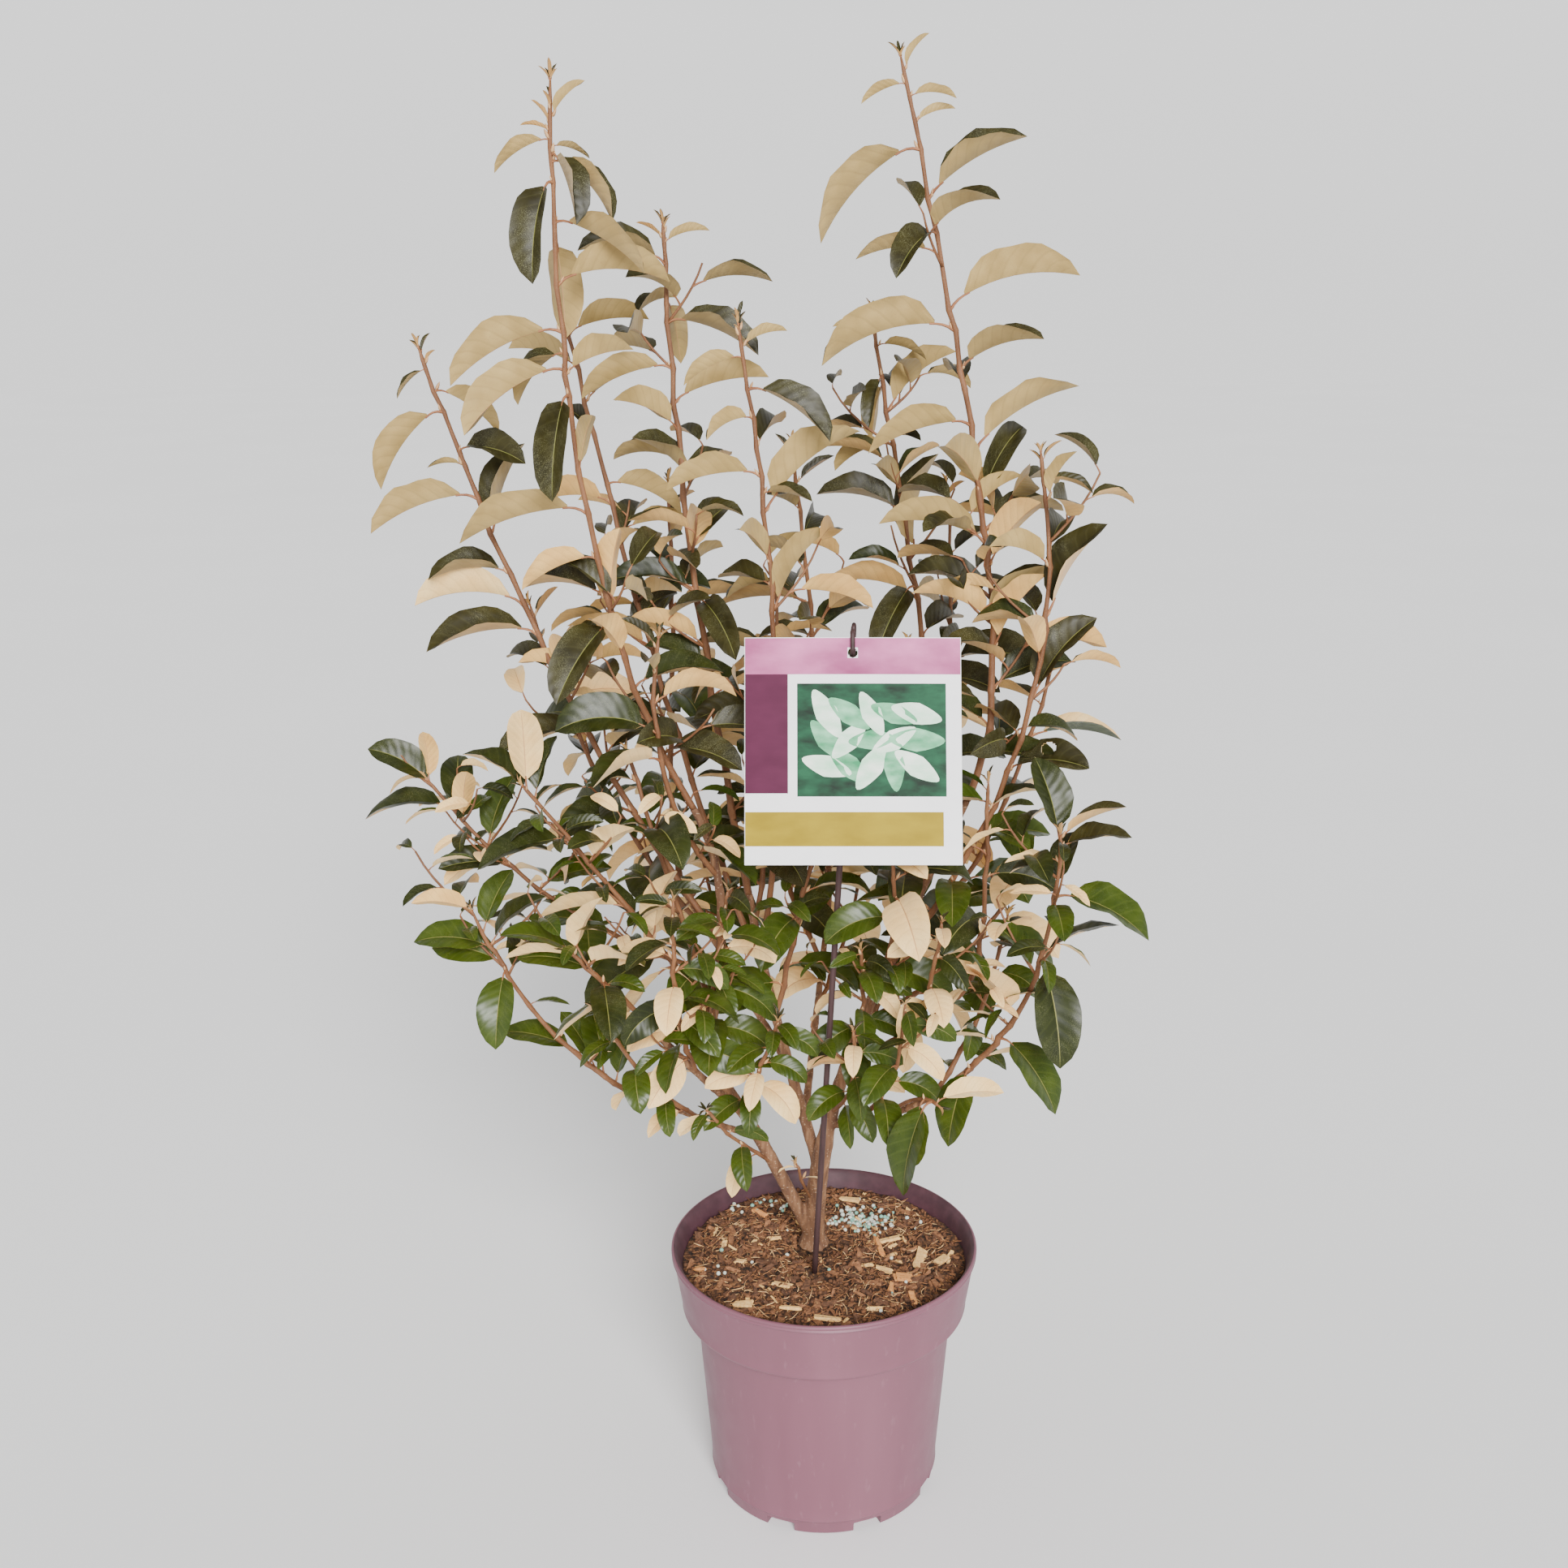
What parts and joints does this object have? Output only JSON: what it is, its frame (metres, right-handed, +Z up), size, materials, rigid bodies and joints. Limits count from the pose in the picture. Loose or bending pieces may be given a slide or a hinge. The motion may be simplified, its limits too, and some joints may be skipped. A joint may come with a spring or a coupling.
{
  "type": "potted ebbinges silverberry",
  "caption": "Evergreen shrub with upright leafy shoots from a forked trunk, standing in its round plastic nursery pot with a label card on a stick.",
  "frame": {"origin": "middle of the pot's flat underside, on the surface it stands on", "axes": "+Z up along the plant's height, -Y towards the side that the label card faces"},
  "size_m": [0.5571, 0.3425, 1.0389],
  "materials": {
    "pot_plastic": "satin mauve plastic",
    "potting_mix": "dark crumbly bark mix",
    "label_card": "smooth printed card",
    "label_stick": "smooth dark plastic",
    "foliage": "green leaf tops with tan undersides",
    "bark": "smooth brown bark"
  },
  "bodies": {
    "root": {"bough_back": "bark", "bough_back_left": "bark", "bough_back_right": "bark", "bough_centre": "bark", "bough_left": "bark", "bough_left_out": "bark", "bough_low_left": "bark", "bough_low_right": "bark", "bough_right": "bark", "bough_right_out": "bark", "label_card": "label_card", "label_stick": "label_stick", "pot": "pot_plastic", "shoot_back_left_tall": "foliage", "shoot_back_mid_left": "foliage", "shoot_back_mid_right": "foliage", "shoot_back_right_tall": "foliage", "shoot_back_tall": "foliage", "shoot_centre": "foliage", "shoot_centre_left": "foliage", "shoot_far_left": "foliage", "shoot_far_left_back": "foliage", "shoot_far_right_back": "foliage", "shoot_front_centre": "foliage", "shoot_front_left": "foliage", "shoot_front_low": "foliage", "shoot_front_low_centre": "foliage", "shoot_front_low_right": "foliage", "shoot_front_mid_left": "foliage", "shoot_front_mid_right": "foliage", "shoot_front_right": "foliage", "shoot_inner_back": "foliage", "shoot_inner_centre": "foliage", "shoot_inner_left": "foliage", "shoot_inner_mid_left": "foliage", "shoot_inner_right": "foliage", "shoot_left_dark": "foliage", "shoot_left_mid": "foliage", "shoot_left_reach": "foliage", "shoot_left_tall": "foliage", "shoot_low_back": "foliage", "shoot_low_back_left": "foliage", "shoot_low_left": "foliage", "shoot_low_left_front": "foliage", "shoot_low_right": "foliage", "shoot_low_right_back": "foliage", "shoot_low_right_mid": "foliage", "shoot_outer_left": "foliage", "shoot_right_back": "foliage", "shoot_right_front": "foliage", "shoot_right_hanging": "foliage", "shoot_right_mid": "foliage", "shoot_right_tall": "foliage", "soil": "potting_mix", "sprout_foot": "foliage", "stem_left": "bark", "trunk": "bark", "twig_stem_left": "foliage"}
  },
  "joints": []
}
